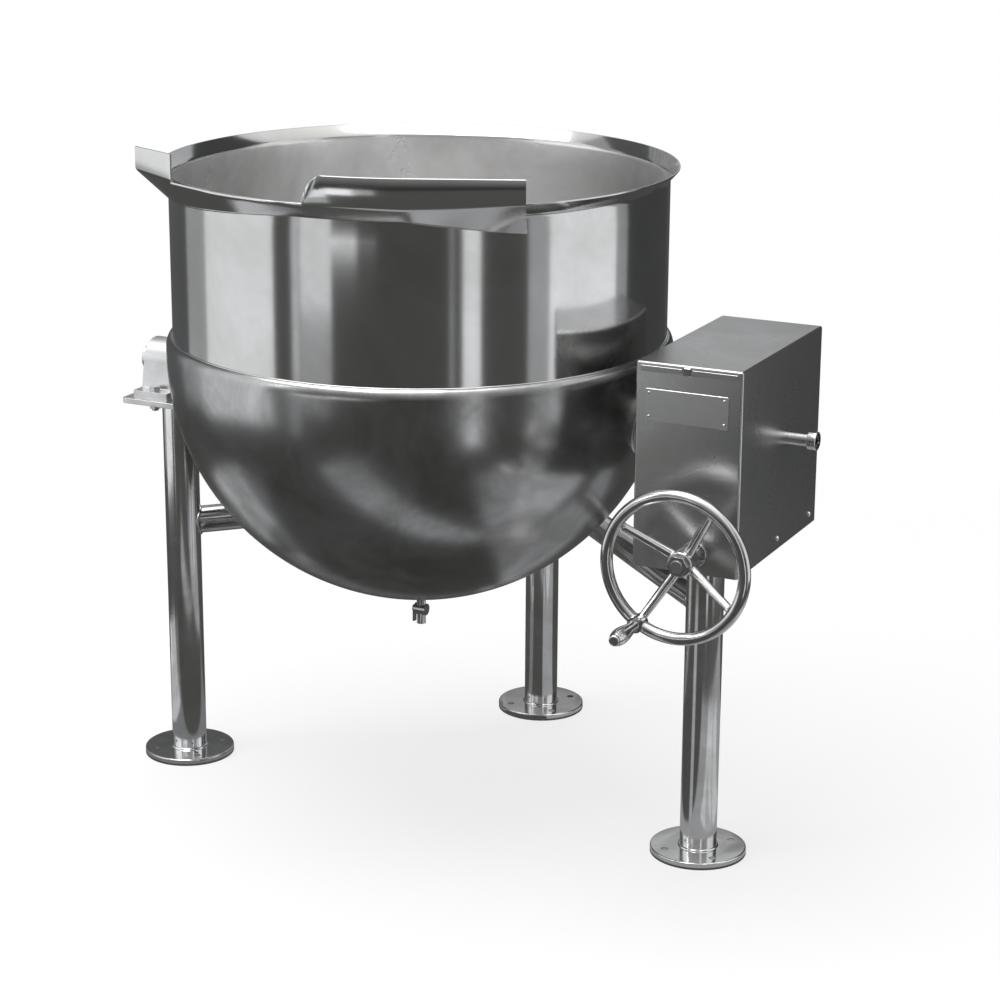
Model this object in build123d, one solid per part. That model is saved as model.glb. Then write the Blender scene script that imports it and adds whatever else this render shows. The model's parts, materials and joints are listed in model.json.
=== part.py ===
from build123d import *
import os
from math import atan, cos, degrees, pi, radians, sin, tan

# Tilting steam jacketed kettle on three legs, with a worm gear tilt in a side console.
# Millimetres, +Z up, -Y is the pouring side, the trunnions lie along X.
# The pieces are built about the kettle's own axis, and moved at the end so that the
# origin is on the floor under the middle of the whole object.

# ---- kettle -------------------------------------------------------------------------
BOWL_INNER_R = 419.0          # 33 in inside diameter
BOWL_WALL = 2.5
BOWL_OUTER_R = BOWL_INNER_R + BOWL_WALL
BOWL_CENTRE_Z = 829.0         # centre of the hemispherical bottom
RIM_FOOT_Z = BOWL_CENTRE_Z + 301.0      # where the straight wall turns out into the rim
RIM_HEIGHT = 20.0
RIM_FLARE = 16.0
STEAM_SPACE = 8.5
JACKET_WALL = 3.0
JACKET_OUTER_R = BOWL_OUTER_R + STEAM_SPACE + JACKET_WALL
JACKET_STRAIGHT = 11.0        # straight height above the jacket's hemisphere
JACKET_SEAM_Z = BOWL_CENTRE_Z + 32.0    # weld line of the jacket on the bowl
WELD_GAP = 0.4                # fit-up gap of a welded piece on a round shell

LIP_SHEET = 3.0
LIP_RISE = 45.0               # wing height above the rim
LIP_FREE_ANGLE = 24.0         # where a wing leaves the round of the rim
LIP_TIP_ANGLE = 47.2
LIP_TIP_LIFT = 10.6           # how far the wing's lower edge climbs to the tip
LIP_SKIRT_DROP = 24.4         # how far the skirt's weld line falls to the wing's end
LIP_SKIRT_SWEEP = 3.5         # how far round the weld line runs past the tip, degrees
LIP_LEFT_END_ANGLE = 35.0     # square inner end of the left wing
LIP_NOTCH_RIGHT = 25.0        # where the right wing starts, at the rim
LIP_NOTCH_R = 50.0            # round corner of the right wing
LIP_SPANS = 5                 # loft spans on each part of a wing

# ---- trunnions and tilt gear --------------------------------------------------------
TRUNNION_Z = BOWL_CENTRE_Z - 77.0
TRUNNION_R = 22.5
TRUNNION_BORE_R = 9.0         # steam way through the right trunnion
PAD_R = TRUNNION_R + 32.5
PAD_FACE_X = JACKET_OUTER_R + 11.0
LEFT_TRUNNION_END = PAD_FACE_X + 112.0
RUNNING_GAP = 0.05            # radial, shaft in bush
PRESS_GAP = 0.02              # radial, modelled gap of a pressed or keyed fit

MODULE = 5.0
GEAR_TEETH = 50
GEAR_PITCH_R = MODULE * GEAR_TEETH / 2
GEAR_TIP_R = GEAR_PITCH_R + MODULE
GEAR_WIDTH = 20.0
GEAR_HUB_R = TRUNNION_R + 17.5
GEAR_HUB_WIDTH = 34.0
GEAR_WEB = 10.0
WORM_PITCH_R = 20.0
WORM_LENGTH = 76.0
PRESSURE_ANGLE = 20.0
BACKLASH = 0.45               # taken off each flank of worm thread and gear tooth
KEY_WIDTH = 12.0
KEY_HEIGHT = 8.0

# ---- stand --------------------------------------------------------------------------
LEFT_LEG_X = -(JACKET_OUTER_R + 59.0)
RIGHT_LEG_X = JACKET_OUTER_R + 102.0
REAR_LEG_Y = JACKET_OUTER_R + 73.0
LEG_R = 31.75                 # 2.5 in tube
LEG_WALL = 3.0
FOOT_R = 82.5
FOOT_THICK = 12.0
FOOT_HOLE_CIRCLE_R = 62.0
FOOT_HOLE_R = 6.5
FOOT_HOLE_TURN = 45.0
BRACE_Z = BOWL_CENTRE_Z - 379.0
BRACE_R = 25.0
BRACE_WALL = 3.0
REAR_LEG_TOP = BRACE_Z + 42.0

BUSH_WALL = 7.0
BUSH_OUTER_R = TRUNNION_R + RUNNING_GAP + BUSH_WALL
BLOCK_DOME_R = BUSH_OUTER_R + 10.45
BOLT_R = 6.0
BOLT_Y = BLOCK_DOME_R + 20.0
BOLT_CLEARANCE = 0.5
BOLT_HEAD_ACROSS = 19.0
BOLT_HEAD = 8.0
BOLT_TAIL = 12.0
BLOCK_HALF_Y = BOLT_Y + 16.0
BLOCK_FOOT = 15.0
LEFT_BLOCK_X = (LEFT_LEG_X - 48.0, LEFT_LEG_X + 22.0)
RIGHT_BLOCK_X = (RIGHT_LEG_X - 30.0, RIGHT_LEG_X + 31.0)
PLATE_THICK = 10.0
PLATE_HALF_Y = BLOCK_HALF_Y + 6.0
LEFT_PLATE_X = (LEFT_LEG_X - 70.0, LEFT_LEG_X + 46.0)
RIGHT_PLATE_X = (RIGHT_LEG_X - 35.0, RIGHT_LEG_X + 35.0)
BLOCK_BASE_Z = TRUNNION_Z - 58.0
FRONT_LEG_TOP = BLOCK_BASE_Z - PLATE_THICK

# ---- console ------------------------------------------------------------------------
SHAFT_Z = TRUNNION_Z - GEAR_PITCH_R - WORM_PITCH_R
GEAR_X = RIGHT_LEG_X + 65.0
CONSOLE_X = (RIGHT_LEG_X - 41.0, RIGHT_LEG_X + 137.0)
CONSOLE_Y = (-GEAR_TIP_R - 90.0, GEAR_TIP_R + 16.0)
CONSOLE_Z = (SHAFT_Z - 33.0, TRUNNION_Z + GEAR_TIP_R + 26.0)
CONSOLE_SHEET = 2.0
CONSOLE_CORNER_R = 4.0
CONSOLE_BASE = 6.0
SEAT_GAP = 0.4                # between the cover's walls and the base plate

SHAFT_R = 10.0
SHAFT_BLOCK_HALF = 24.0
SHAFT_BLOCK_THICK = 24.0
SHAFT_BLOCK_TOP = 22.0        # above the shaft's axis
FRONT_BLOCK_Y = -110.0
REAR_BLOCK_Y = 66.0
SHAFT_BUSH_WALL = 4.0
SHAFT_COLLAR_R = 17.0
SHAFT_COLLAR = 12.0
AXIAL_PLAY = 0.5
BEZEL_R = 21.0
BEZEL_THICK = 4.0

UNION_R = TRUNNION_R + 6.5
UNION_X = (CONSOLE_X[1] - 42.0, CONSOLE_X[1] - 6.0)
UNION_GLAND_R = TRUNNION_R + 4.5
UNION_GLAND = 9.0
UNION_STAND_X = (UNION_X[0] + 10.0, UNION_X[0] + 18.0)
UNION_STAND_HALF = UNION_R + 7.0
RIGHT_TRUNNION_END = UNION_X[0] + 22.0
PIPE_R = 10.7                 # half inch pipe
PIPE_BORE_R = 7.9
PIPE_COLLAR_R = 15.5
PIPE_COLLAR = 15.0
PIPE_END_X = UNION_X[1] + 55.0
PIPE_SEAT_DEPTH = 10.0
PIPE_SOCKET = 9.0             # free depth of the collar's socket beyond the pipe
PIPE_SOCKET_R = 10.4

# ---- handwheel ----------------------------------------------------------------------
WHEEL_R = 125.0
WHEEL_RIM_R = 10.0
WHEEL_PLANE_Y = CONSOLE_Y[0] - 81.0
HUB_R = 20.5
HUB_FRONT_Y = WHEEL_PLANE_Y + 16.0
HUB_LENGTH = 36.0
SPOKES = 4
SPOKE_TURN = 59.0             # first spoke, degrees from +X towards +Z
SPOKE_R_HUB = 8.5
SPOKE_R_RIM = 6.5
NUT_ACROSS = 30.0
NUT_THICK = 9.0
CRANK_SPOKE = 2               # the spoke that ends at the crank grip
LUG_R = 13.0
LUG_THICK = 15.0
GRIP_LENGTH = 76.0
GRIP_R = 13.5
GRIP_NECK_R = 9.5
GRIP_PIN_R = 5.0
GRIP_PIN_HEAD_R = 9.0
GRIP_PIN_HEAD = 5.0

# ---- jacket petcock -----------------------------------------------------------------
BUSHING_ACROSS = 24.0
BUSHING = 14.0
PETCOCK_R = 8.0
PETCOCK_BORE_R = 3.0
PETCOCK_LENGTH = 52.0         # below the bushing
PLUG_DROP = 26.0              # plug axis below the bushing
PLUG_BOSS_R = 10.5
PLUG_BOSS_HALF = 11.0
PLUG_R = 5.0
LEVER_LENGTH = 24.0
LEVER_WIDTH = 8.0
LEVER_THICK = 4.0

# ---- worked out ---------------------------------------------------------------------
RIM_TOP_Z = RIM_FOOT_Z + RIM_HEIGHT
RIM_OUTER_R = BOWL_OUTER_R + RIM_FLARE
JACKET_INNER_R = JACKET_OUTER_R - JACKET_WALL
JACKET_BOTTOM_Z = BOWL_CENTRE_Z - JACKET_OUTER_R
LEAD = pi * MODULE
SHAFT_BUSH_R = SHAFT_R + RUNNING_GAP + SHAFT_BUSH_WALL
BASE_TOP_Z = CONSOLE_Z[0] + CONSOLE_BASE
BUSHING_BOTTOM_Z = JACKET_BOTTOM_Z - BUSHING
PLUG_Z = BUSHING_BOTTOM_Z - PLUG_DROP
WHEEL_CIRCLE_R = WHEEL_R - WHEEL_RIM_R
CRANK_ANGLE = radians(SPOKE_TURN + CRANK_SPOKE * 360 / SPOKES)
GRIP_X = GEAR_X + WHEEL_CIRCLE_R * cos(CRANK_ANGLE)
GRIP_Z = SHAFT_Z + WHEEL_CIRCLE_R * sin(CRANK_ANGLE)
LUG_FRONT_Y = WHEEL_PLANE_Y - LUG_THICK
LIP_INNER_R = RIM_OUTER_R + 2.5 * WELD_GAP
FOOT_LEFT = LEFT_LEG_X - FOOT_R
FOOT_REAR = REAR_LEG_Y + FOOT_R
LIP_FRONT = -(LIP_INNER_R + LIP_SHEET)
RIGHT_MOST = max(PIPE_END_X, GEAR_X + WHEEL_R)
PLACE = Pos(-(FOOT_LEFT + RIGHT_MOST) / 2, -(LIP_FRONT + FOOT_REAR) / 2, 0)


def rod_x(r, x0, x1, y=0.0, z=TRUNNION_Z):
    return Pos(x0, y, z) * Rot(0, 90, 0) * Cylinder(r, x1 - x0, align=(Align.CENTER, Align.CENTER, Align.MIN))


def rod_y(r, y0, y1, x=GEAR_X, z=SHAFT_Z):
    return Pos(x, y0, z) * Rot(-90, 0, 0) * Cylinder(r, y1 - y0, align=(Align.CENTER, Align.CENTER, Align.MIN))


def rod_z(r, z0, z1, x=0.0, y=0.0):
    return Pos(x, y, z0) * Cylinder(r, z1 - z0, align=(Align.CENTER, Align.CENTER, Align.MIN))


def block(x, y, z):
    """A box between two values on each axis."""
    size = (x[1] - x[0], y[1] - y[0], z[1] - z[0])
    return Pos(x[0], y[0], z[0]) * Box(*size, align=(Align.MIN, Align.MIN, Align.MIN))


def hexagon(across, height):
    return extrude(RegularPolygon(across / 2, 6, major_radius=False), height)


def turned(points, arcs=()):
    """A solid of revolution about Z; arcs are (start, middle, end) in the same outline."""
    edges = [Line(a, b) for a, b in points] + [ThreePointArc(*arc) for arc in arcs]
    return revolve(make_face([Plane.XZ * edge for edge in edges]), Axis.Z)


# ---- kettle pieces ------------------------------------------------------------------
def shell(outer_r, wall, top_z):
    """A cylinder over a hemisphere, open at the top."""
    inner_r = outer_r - wall
    c = BOWL_CENTRE_Z
    diagonal = cos(radians(45))
    lines = [((outer_r, c), (outer_r, top_z)), ((outer_r, top_z), (inner_r, top_z)),
             ((inner_r, top_z), (inner_r, c)), ((0, c - inner_r), (0, c - outer_r))]
    arcs = [((inner_r, c), (inner_r * diagonal, c - inner_r * diagonal), (0, c - inner_r)),
            ((0, c - outer_r), (outer_r * diagonal, c - outer_r * diagonal), (outer_r, c))]
    return turned(lines, arcs)


def kettle_bowl():
    """The bowl, its wall turned out at the top into a rim with a flat edge."""
    corners = [(BOWL_INNER_R, RIM_FOOT_Z), (BOWL_OUTER_R, RIM_FOOT_Z), (RIM_OUTER_R, RIM_TOP_Z - BOWL_WALL),
               (RIM_OUTER_R, RIM_TOP_Z), (RIM_OUTER_R - BOWL_WALL, RIM_TOP_Z)]
    rim = revolve(make_face(Plane.XZ * Polyline(*corners, close=True)), Axis.Z)
    return shell(BOWL_OUTER_R, BOWL_WALL, RIM_FOOT_Z) + rim


def steam_jacket():
    """The outer shell, closing in on the bowl's wall at its seam, with the steam way and drain cut in."""
    top = BOWL_CENTRE_Z + JACKET_STRAIGHT
    weld_r = BOWL_OUTER_R + WELD_GAP
    c, r_out, r_in = BOWL_CENTRE_Z, JACKET_OUTER_R, JACKET_INNER_R
    diagonal = cos(radians(45))
    shoulder = ((r_out, top), (r_out - 0.3 * (r_out - weld_r), top + 0.72 * (JACKET_SEAM_Z - top)),
                (weld_r, JACKET_SEAM_Z))
    inner_top = JACKET_SEAM_Z - JACKET_WALL
    inner_shoulder = ((weld_r, inner_top), (r_in - 0.3 * (r_in - weld_r), top + 0.72 * (inner_top - top)),
                      (r_in, top))
    lines = [((r_out, c), (r_out, top)), ((weld_r, JACKET_SEAM_Z), (weld_r, inner_top)),
             ((r_in, top), (r_in, c)), ((0, c - r_in), (0, c - r_out))]
    arcs = [shoulder, inner_shoulder,
            ((r_in, c), (r_in * diagonal, c - r_in * diagonal), (0, c - r_in)),
            ((0, c - r_out), (r_out * diagonal, c - r_out * diagonal), (r_out, c))]
    jacket = turned(lines, arcs)
    jacket -= rod_x(TRUNNION_BORE_R, BOWL_OUTER_R + WELD_GAP, PAD_FACE_X)
    return jacket - rod_z(PETCOCK_BORE_R, JACKET_BOTTOM_Z - 1, BOWL_CENTRE_Z - BOWL_OUTER_R - 1)


def lip_section(angle):
    """The lip's sheet cut upright near one angle from the front: skirt, fold and wing."""
    side = 1 if angle >= 0 else -1
    turn = abs(angle)
    free = max(0.0, turn - LIP_FREE_ANGLE)
    share = free / (LIP_TIP_ANGLE - LIP_FREE_ANGLE)
    drop_share = share if side > 0 else turn / LIP_TIP_ANGLE
    inner_r = LIP_INNER_R / cos(radians(free))
    outer_r = inner_r + LIP_SHEET
    slope = (RIM_HEIGHT - BOWL_WALL) / RIM_FLARE
    weld_r = BOWL_OUTER_R + WELD_GAP
    start_z = RIM_FOOT_Z - 2 * WELD_GAP
    weld_z = start_z - LIP_SKIRT_DROP * drop_share
    fold_z = start_z + slope * (LIP_INNER_R - weld_r) + LIP_TIP_LIFT * share
    sheet_drop = LIP_SHEET / sin(atan(1 / slope))
    top_z = RIM_TOP_Z + LIP_RISE
    weld_turn = turn + LIP_SKIRT_SWEEP * share ** 2

    start, end = (Vector(0, -weld_r, 0).rotate(Axis.Z, side * weld_turn),
                  Vector(0, -outer_r, 0).rotate(Axis.Z, side * turn))

    def point(r, z):
        return start + (end - start) * ((r - weld_r) / (outer_r - weld_r)) + Vector(0, 0, z)

    return [point(weld_r, weld_z - sheet_drop), point(outer_r, fold_z - LIP_SHEET / 2),
            point(outer_r, top_z), point(inner_r, top_z), point(inner_r, fold_z), point(weld_r, weld_z)]


def pouring_lip():
    """Two wings that leave the rim at a tangent, a skirt under them, and the pouring notch between,
    which runs from the left wing's square end to the right wing's round corner."""
    around = [LIP_FREE_ANGLE * k / LIP_SPANS for k in range(1, LIP_SPANS + 1)]
    free_step = (LIP_TIP_ANGLE - LIP_FREE_ANGLE) / LIP_SPANS
    half = around + [LIP_FREE_ANGLE + free_step * k for k in range(1, LIP_SPANS + 1)]
    stations = [-angle for angle in reversed(half)] + [0.0] + half
    lip = loft([make_face(Polyline(*lip_section(angle), close=True)) for angle in stations])
    left_end_r = LIP_INNER_R / cos(radians(LIP_LEFT_END_ANGLE - LIP_FREE_ANGLE))
    left_end_x = -left_end_r * sin(radians(LIP_LEFT_END_ANGLE))
    corner_x = LIP_NOTCH_RIGHT + LIP_NOTCH_R
    notch = block((left_end_x, corner_x), (-2 * LIP_INNER_R, 0), (RIM_TOP_Z, RIM_TOP_Z + 2 * LIP_RISE))
    notch -= rod_y(LIP_NOTCH_R, -2 * LIP_INNER_R, 0, corner_x, RIM_TOP_Z)
    return lip - notch


def trunnion(side, end_x, bore_r):
    """A pad cut to the jacket's round, with the shaft turned on it."""
    pad = rod_x(PAD_R, JACKET_INNER_R - 40, PAD_FACE_X)
    pad -= Pos(0, 0, BOWL_CENTRE_Z) * Sphere(JACKET_OUTER_R + WELD_GAP)
    piece = pad + rod_x(TRUNNION_R, PAD_FACE_X, end_x)
    if bore_r:
        piece -= rod_x(bore_r, JACKET_INNER_R - 40, end_x)
    return piece if side > 0 else mirror(piece, Plane.YZ)


def key_slot(clearance):
    half = KEY_WIDTH / 2 + clearance
    z0 = TRUNNION_Z + TRUNNION_R - KEY_HEIGHT / 2 - clearance
    x = (GEAR_X - GEAR_HUB_WIDTH / 2, GEAR_X + GEAR_HUB_WIDTH / 2)
    return block(x, (-half, half), (z0, z0 + KEY_HEIGHT + 2 * clearance))


def worm_gear():
    """A spoked wheel blank with a web and hub, its tooth gaps cut at the worm's lead angle."""
    root_r = GEAR_PITCH_R - 1.2 * MODULE
    tip_r = GEAR_PITCH_R + MODULE - BACKLASH
    x0, x1 = GEAR_X - GEAR_WIDTH / 2, GEAR_X + GEAR_WIDTH / 2
    rim = rod_x(tip_r, x0, x1) - rod_x(root_r - 2.4 * MODULE, x0, x1)
    web = rod_x(root_r - 2 * MODULE, GEAR_X - GEAR_WEB / 2, GEAR_X + GEAR_WEB / 2)
    hub = rod_x(GEAR_HUB_R, GEAR_X - GEAR_HUB_WIDTH / 2, GEAR_X + GEAR_HUB_WIDTH / 2)
    blank = rim + web + hub - rod_x(TRUNNION_R + PRESS_GAP, x0 - GEAR_HUB_WIDTH, x1 + GEAR_HUB_WIDTH)
    lightening_r = (GEAR_HUB_R + root_r - 2.4 * MODULE) / 2
    for k in range(5):
        a = radians(90 + 72 * k)
        hole = rod_x(18, x0, x1, lightening_r * cos(a), TRUNNION_Z + lightening_r * sin(a))
        blank -= hole
    lead_angle = degrees(atan(LEAD / (2 * pi * WORM_PITCH_R)))
    slope = tan(radians(PRESSURE_ANGLE))
    half = LEAD / 4 + BACKLASH
    depth_in, depth_out = 1.2 * MODULE, MODULE + 1
    gap = Polyline((half - depth_in * slope, depth_in), (half + depth_out * slope, -depth_out),
                   (-half - depth_out * slope, -depth_out), (-half + depth_in * slope, depth_in), close=True)
    cutter = extrude(make_face(Plane.YZ * gap), GEAR_WIDTH, both=True)
    cutter = Pos(0, 0, -GEAR_PITCH_R) * Rot(0, 0, lead_angle) * cutter
    centre = Pos(GEAR_X, 0, TRUNNION_Z)
    gaps = [centre * Rot(360 * k / GEAR_TEETH, 0, 0) * cutter for k in range(GEAR_TEETH)]
    return blank - gaps - key_slot(PRESS_GAP)


def gear_key():
    return key_slot(0)


# ---- jacket petcock pieces ----------------------------------------------------------
def petcock_body():
    jacket_clear = Pos(0, 0, BOWL_CENTRE_Z) * Sphere(JACKET_OUTER_R + WELD_GAP)
    body = Pos(0, 0, BUSHING_BOTTOM_Z) * hexagon(BUSHING_ACROSS, BUSHING + 4) - jacket_clear
    body += rod_z(PETCOCK_R, BUSHING_BOTTOM_Z - PETCOCK_LENGTH, BUSHING_BOTTOM_Z)
    body += rod_x(PLUG_BOSS_R, -PLUG_BOSS_HALF, PLUG_BOSS_HALF, 0, PLUG_Z)
    body -= rod_z(PETCOCK_BORE_R, BUSHING_BOTTOM_Z - PETCOCK_LENGTH, JACKET_BOTTOM_Z + 4)
    return body - rod_x(PLUG_R + RUNNING_GAP, -PLUG_BOSS_HALF, PLUG_BOSS_HALF, 0, PLUG_Z)


def petcock_lever():
    """The turning plug with its flat lever, hanging down at rest."""
    outer = -PLUG_BOSS_HALF - AXIAL_PLAY
    plug = rod_x(PLUG_R, outer, PLUG_BOSS_HALF, 0, PLUG_Z)
    plug -= rod_z(PETCOCK_BORE_R, PLUG_Z - 2 * PLUG_R, PLUG_Z + 2 * PLUG_R)
    blade = block((outer - LEVER_THICK, outer), (-LEVER_WIDTH / 2, LEVER_WIDTH / 2), (PLUG_Z - LEVER_LENGTH, PLUG_Z))
    return plug + blade + rod_x(LEVER_WIDTH / 2 + 2, outer - LEVER_THICK, outer, 0, PLUG_Z)


# ---- stand pieces -------------------------------------------------------------------
def leg(x, y, top_z):
    return rod_z(LEG_R, FOOT_THICK, top_z, x, y) - rod_z(LEG_R - LEG_WALL, FOOT_THICK, top_z, x, y)


def foot(x, y):
    """A round flange with four anchor holes and a spigot inside the leg."""
    disc = rod_z(FOOT_R, 0, FOOT_THICK)
    disc = fillet(disc.edges().filter_by(GeomType.CIRCLE).group_by(Axis.Z)[-1], 2.5)
    disc += rod_z(LEG_R - LEG_WALL - PRESS_GAP, FOOT_THICK, 2.5 * FOOT_THICK)
    for k in range(4):
        a = radians(FOOT_HOLE_TURN + 90 * k)
        disc -= rod_z(FOOT_HOLE_R, 0, FOOT_THICK, FOOT_HOLE_CIRCLE_R * cos(a), FOOT_HOLE_CIRCLE_R * sin(a))
    return Pos(x, y, 0) * disc


def brace(x):
    """A tube from a front leg to the rear leg, its ends cut to the legs' round."""
    a, b = Vector(x, 0, BRACE_Z), Vector(0, REAR_LEG_Y, BRACE_Z)
    along = Plane(origin=a, z_dir=b - a)
    length = (b - a).length
    upright = (Align.CENTER, Align.CENTER, Align.MIN)
    tube = along * (Cylinder(BRACE_R, length, align=upright) - Cylinder(BRACE_R - BRACE_WALL, length, align=upright))
    for end in (a, b):
        tube -= rod_z(LEG_R + WELD_GAP, BRACE_Z - 2 * BRACE_R, BRACE_Z + 2 * BRACE_R, end.X, end.Y)
    side = 1 if x > 0 else -1
    past_middle = sorted((side * WELD_GAP / 2, -side * 2 * BRACE_R))
    return tube - block(past_middle, (0, REAR_LEG_Y + LEG_R), (BRACE_Z - BRACE_R, BRACE_Z + BRACE_R))


def rear_leg_cap():
    """A low domed plug in the top of the rear leg."""
    dome = rod_z(LEG_R, REAR_LEG_TOP, REAR_LEG_TOP + 7, 0, REAR_LEG_Y)
    dome = fillet(dome.edges().group_by(Axis.Z)[-1], 5)
    return dome + rod_z(LEG_R - LEG_WALL - PRESS_GAP, REAR_LEG_TOP - 12, REAR_LEG_TOP, 0, REAR_LEG_Y)


def bolt_places(x_range):
    middle = (x_range[0] + x_range[1]) / 2
    return [(middle, side * BOLT_Y) for side in (-1, 1)]


def top_plate(x_range, block_x):
    plate = block(x_range, (-PLATE_HALF_Y, PLATE_HALF_Y), (FRONT_LEG_TOP, FRONT_LEG_TOP + PLATE_THICK))
    plate = fillet(plate.edges().filter_by(Axis.Z), 8)
    for x, y in bolt_places(block_x):
        plate -= rod_z(BOLT_R + BOLT_CLEARANCE, FRONT_LEG_TOP, BLOCK_BASE_Z, x, y)
    return plate


def bearing_block(x_range):
    """A pillow block: a foot each side, and flanks that rise to a round crown over the bore."""
    crown_z = TRUNNION_Z + BLOCK_DOME_R
    foot_z = BLOCK_BASE_Z + BLOCK_FOOT
    shoulder = BLOCK_DOME_R + 8
    outline = [Line((-BLOCK_HALF_Y, BLOCK_BASE_Z), (BLOCK_HALF_Y, BLOCK_BASE_Z)),
               Line((BLOCK_HALF_Y, BLOCK_BASE_Z), (BLOCK_HALF_Y, foot_z)),
               Line((BLOCK_HALF_Y, foot_z), (shoulder, foot_z)),
               Line((shoulder, foot_z), (BLOCK_DOME_R, TRUNNION_Z)),
               ThreePointArc((BLOCK_DOME_R, TRUNNION_Z), (0, crown_z), (-BLOCK_DOME_R, TRUNNION_Z)),
               Line((-BLOCK_DOME_R, TRUNNION_Z), (-shoulder, foot_z)),
               Line((-shoulder, foot_z), (-BLOCK_HALF_Y, foot_z)),
               Line((-BLOCK_HALF_Y, foot_z), (-BLOCK_HALF_Y, BLOCK_BASE_Z))]
    plane = Plane((x_range[0], 0, 0), x_dir=(0, 1, 0), z_dir=(1, 0, 0))
    body = extrude(make_face([plane * edge for edge in outline]), x_range[1] - x_range[0])
    body -= rod_x(BUSH_OUTER_R + PRESS_GAP, *x_range)
    for x, y in bolt_places(x_range):
        body -= rod_z(BOLT_R + BOLT_CLEARANCE, BLOCK_BASE_Z, foot_z, x, y)
    return body


def bearing_bush(x_range):
    return rod_x(BUSH_OUTER_R, *x_range) - rod_x(TRUNNION_R + RUNNING_GAP, *x_range)


def bearing_bolts(x_range):
    """Two hexagon bolts, each with its nut under the plate."""
    foot_z = BLOCK_BASE_Z + BLOCK_FOOT
    bolt = rod_z(BOLT_R, FRONT_LEG_TOP - BOLT_TAIL, foot_z) + Pos(0, 0, foot_z) * hexagon(BOLT_HEAD_ACROSS, BOLT_HEAD)
    bolt += Pos(0, 0, FRONT_LEG_TOP - BOLT_HEAD) * hexagon(BOLT_HEAD_ACROSS, BOLT_HEAD)
    return Part() + [Pos(x, y, 0) * bolt for x, y in bolt_places(x_range)]


# ---- console pieces -----------------------------------------------------------------
def console_cover():
    """A folded sheet box, open below, with holes for the trunnion, the pipe and the worm shaft."""
    outer = block(CONSOLE_X, CONSOLE_Y, CONSOLE_Z)
    bends = outer.edges().filter_by(Axis.Z) + outer.edges().group_by(Axis.Z)[-1]
    outer = fillet(bends, CONSOLE_CORNER_R)
    s = CONSOLE_SHEET
    inner = block((CONSOLE_X[0] + s, CONSOLE_X[1] - s), (CONSOLE_Y[0] + s, CONSOLE_Y[1] - s),
                  (CONSOLE_Z[0], CONSOLE_Z[1] - s))
    inner_bends = inner.edges().filter_by(Axis.Z) + inner.edges().group_by(Axis.Z)[-1]
    inner = fillet(inner_bends, CONSOLE_CORNER_R - s)
    cover = outer - inner
    cover -= rod_x(TRUNNION_R + 4, CONSOLE_X[0] - 1, CONSOLE_X[0] + s + 1)
    cover -= rod_x(PIPE_R + SEAT_GAP, CONSOLE_X[1] - s - 1, CONSOLE_X[1] + 1)
    return cover - rod_y(SHAFT_R + 4, CONSOLE_Y[0] - 1, CONSOLE_Y[0] + s + 1)


def console_base():
    """The console's floor, cut round the leg it is welded to."""
    inset = CONSOLE_SHEET + SEAT_GAP
    plate = block((CONSOLE_X[0] + inset, CONSOLE_X[1] - inset), (CONSOLE_Y[0] + inset, CONSOLE_Y[1] - inset),
                  (CONSOLE_Z[0], BASE_TOP_Z))
    plate = fillet(plate.edges().filter_by(Axis.Z), CONSOLE_CORNER_R - CONSOLE_SHEET)
    return plate - rod_z(LEG_R + WELD_GAP, CONSOLE_Z[0], BASE_TOP_Z, RIGHT_LEG_X)


def shaft_block(y0):
    """A bearing block on the console's floor for the worm shaft."""
    x = (GEAR_X - SHAFT_BLOCK_HALF, GEAR_X + SHAFT_BLOCK_HALF)
    body = block(x, (y0, y0 + SHAFT_BLOCK_THICK), (BASE_TOP_Z, SHAFT_Z + SHAFT_BLOCK_TOP))
    crown = body.edges().filter_by(Axis.Y).group_by(Axis.Z)[-1]
    body = fillet(crown, 0.8 * SHAFT_BLOCK_TOP)
    return body - rod_y(SHAFT_BUSH_R + PRESS_GAP, y0, y0 + SHAFT_BLOCK_THICK)


def shaft_bush(y0):
    y1 = y0 + SHAFT_BLOCK_THICK
    return rod_y(SHAFT_BUSH_R, y0, y1) - rod_y(SHAFT_R + RUNNING_GAP, y0, y1)


def shaft_bezel():
    """The flanged ring on the console's front round the worm shaft."""
    ring = rod_y(BEZEL_R, CONSOLE_Y[0] - BEZEL_THICK, CONSOLE_Y[0])
    ring = fillet(ring.edges().group_by(Axis.Y)[0], 1.5)
    return ring - rod_y(SHAFT_R + 2 * RUNNING_GAP, CONSOLE_Y[0] - BEZEL_THICK, CONSOLE_Y[0])


def rotary_union():
    """The fixed steam joint that the right trunnion turns in."""
    body = rod_x(UNION_R, *UNION_X)
    body = fillet(body.edges().filter_by(GeomType.CIRCLE), 2)
    body -= rod_x(TRUNNION_R + RUNNING_GAP, UNION_X[0], RIGHT_TRUNNION_END + AXIAL_PLAY)
    body -= rod_x(PIPE_R + PRESS_GAP, UNION_X[1] - PIPE_SEAT_DEPTH, UNION_X[1])
    return body - rod_x(PIPE_BORE_R, *UNION_X)


def union_gland():
    """The packing nut on the union's inner end."""
    nut = Pos(UNION_X[0] - UNION_GLAND, 0, TRUNNION_Z) * Rot(0, 90, 0) * hexagon(2 * UNION_GLAND_R, UNION_GLAND)
    return nut - rod_x(TRUNNION_R + RUNNING_GAP, UNION_X[0] - UNION_GLAND, UNION_X[0])


def union_stand():
    """An upright plate from the console's floor that holds the union."""
    half, x = UNION_STAND_HALF, UNION_STAND_X
    plate = block(x, (-half, half), (BASE_TOP_Z, TRUNNION_Z)) + rod_x(half, *x)
    plate += block((x[0], x[1] + 14), (-half, half), (BASE_TOP_Z, BASE_TOP_Z + 5))
    return plate - rod_x(UNION_R + PRESS_GAP, *x)


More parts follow.
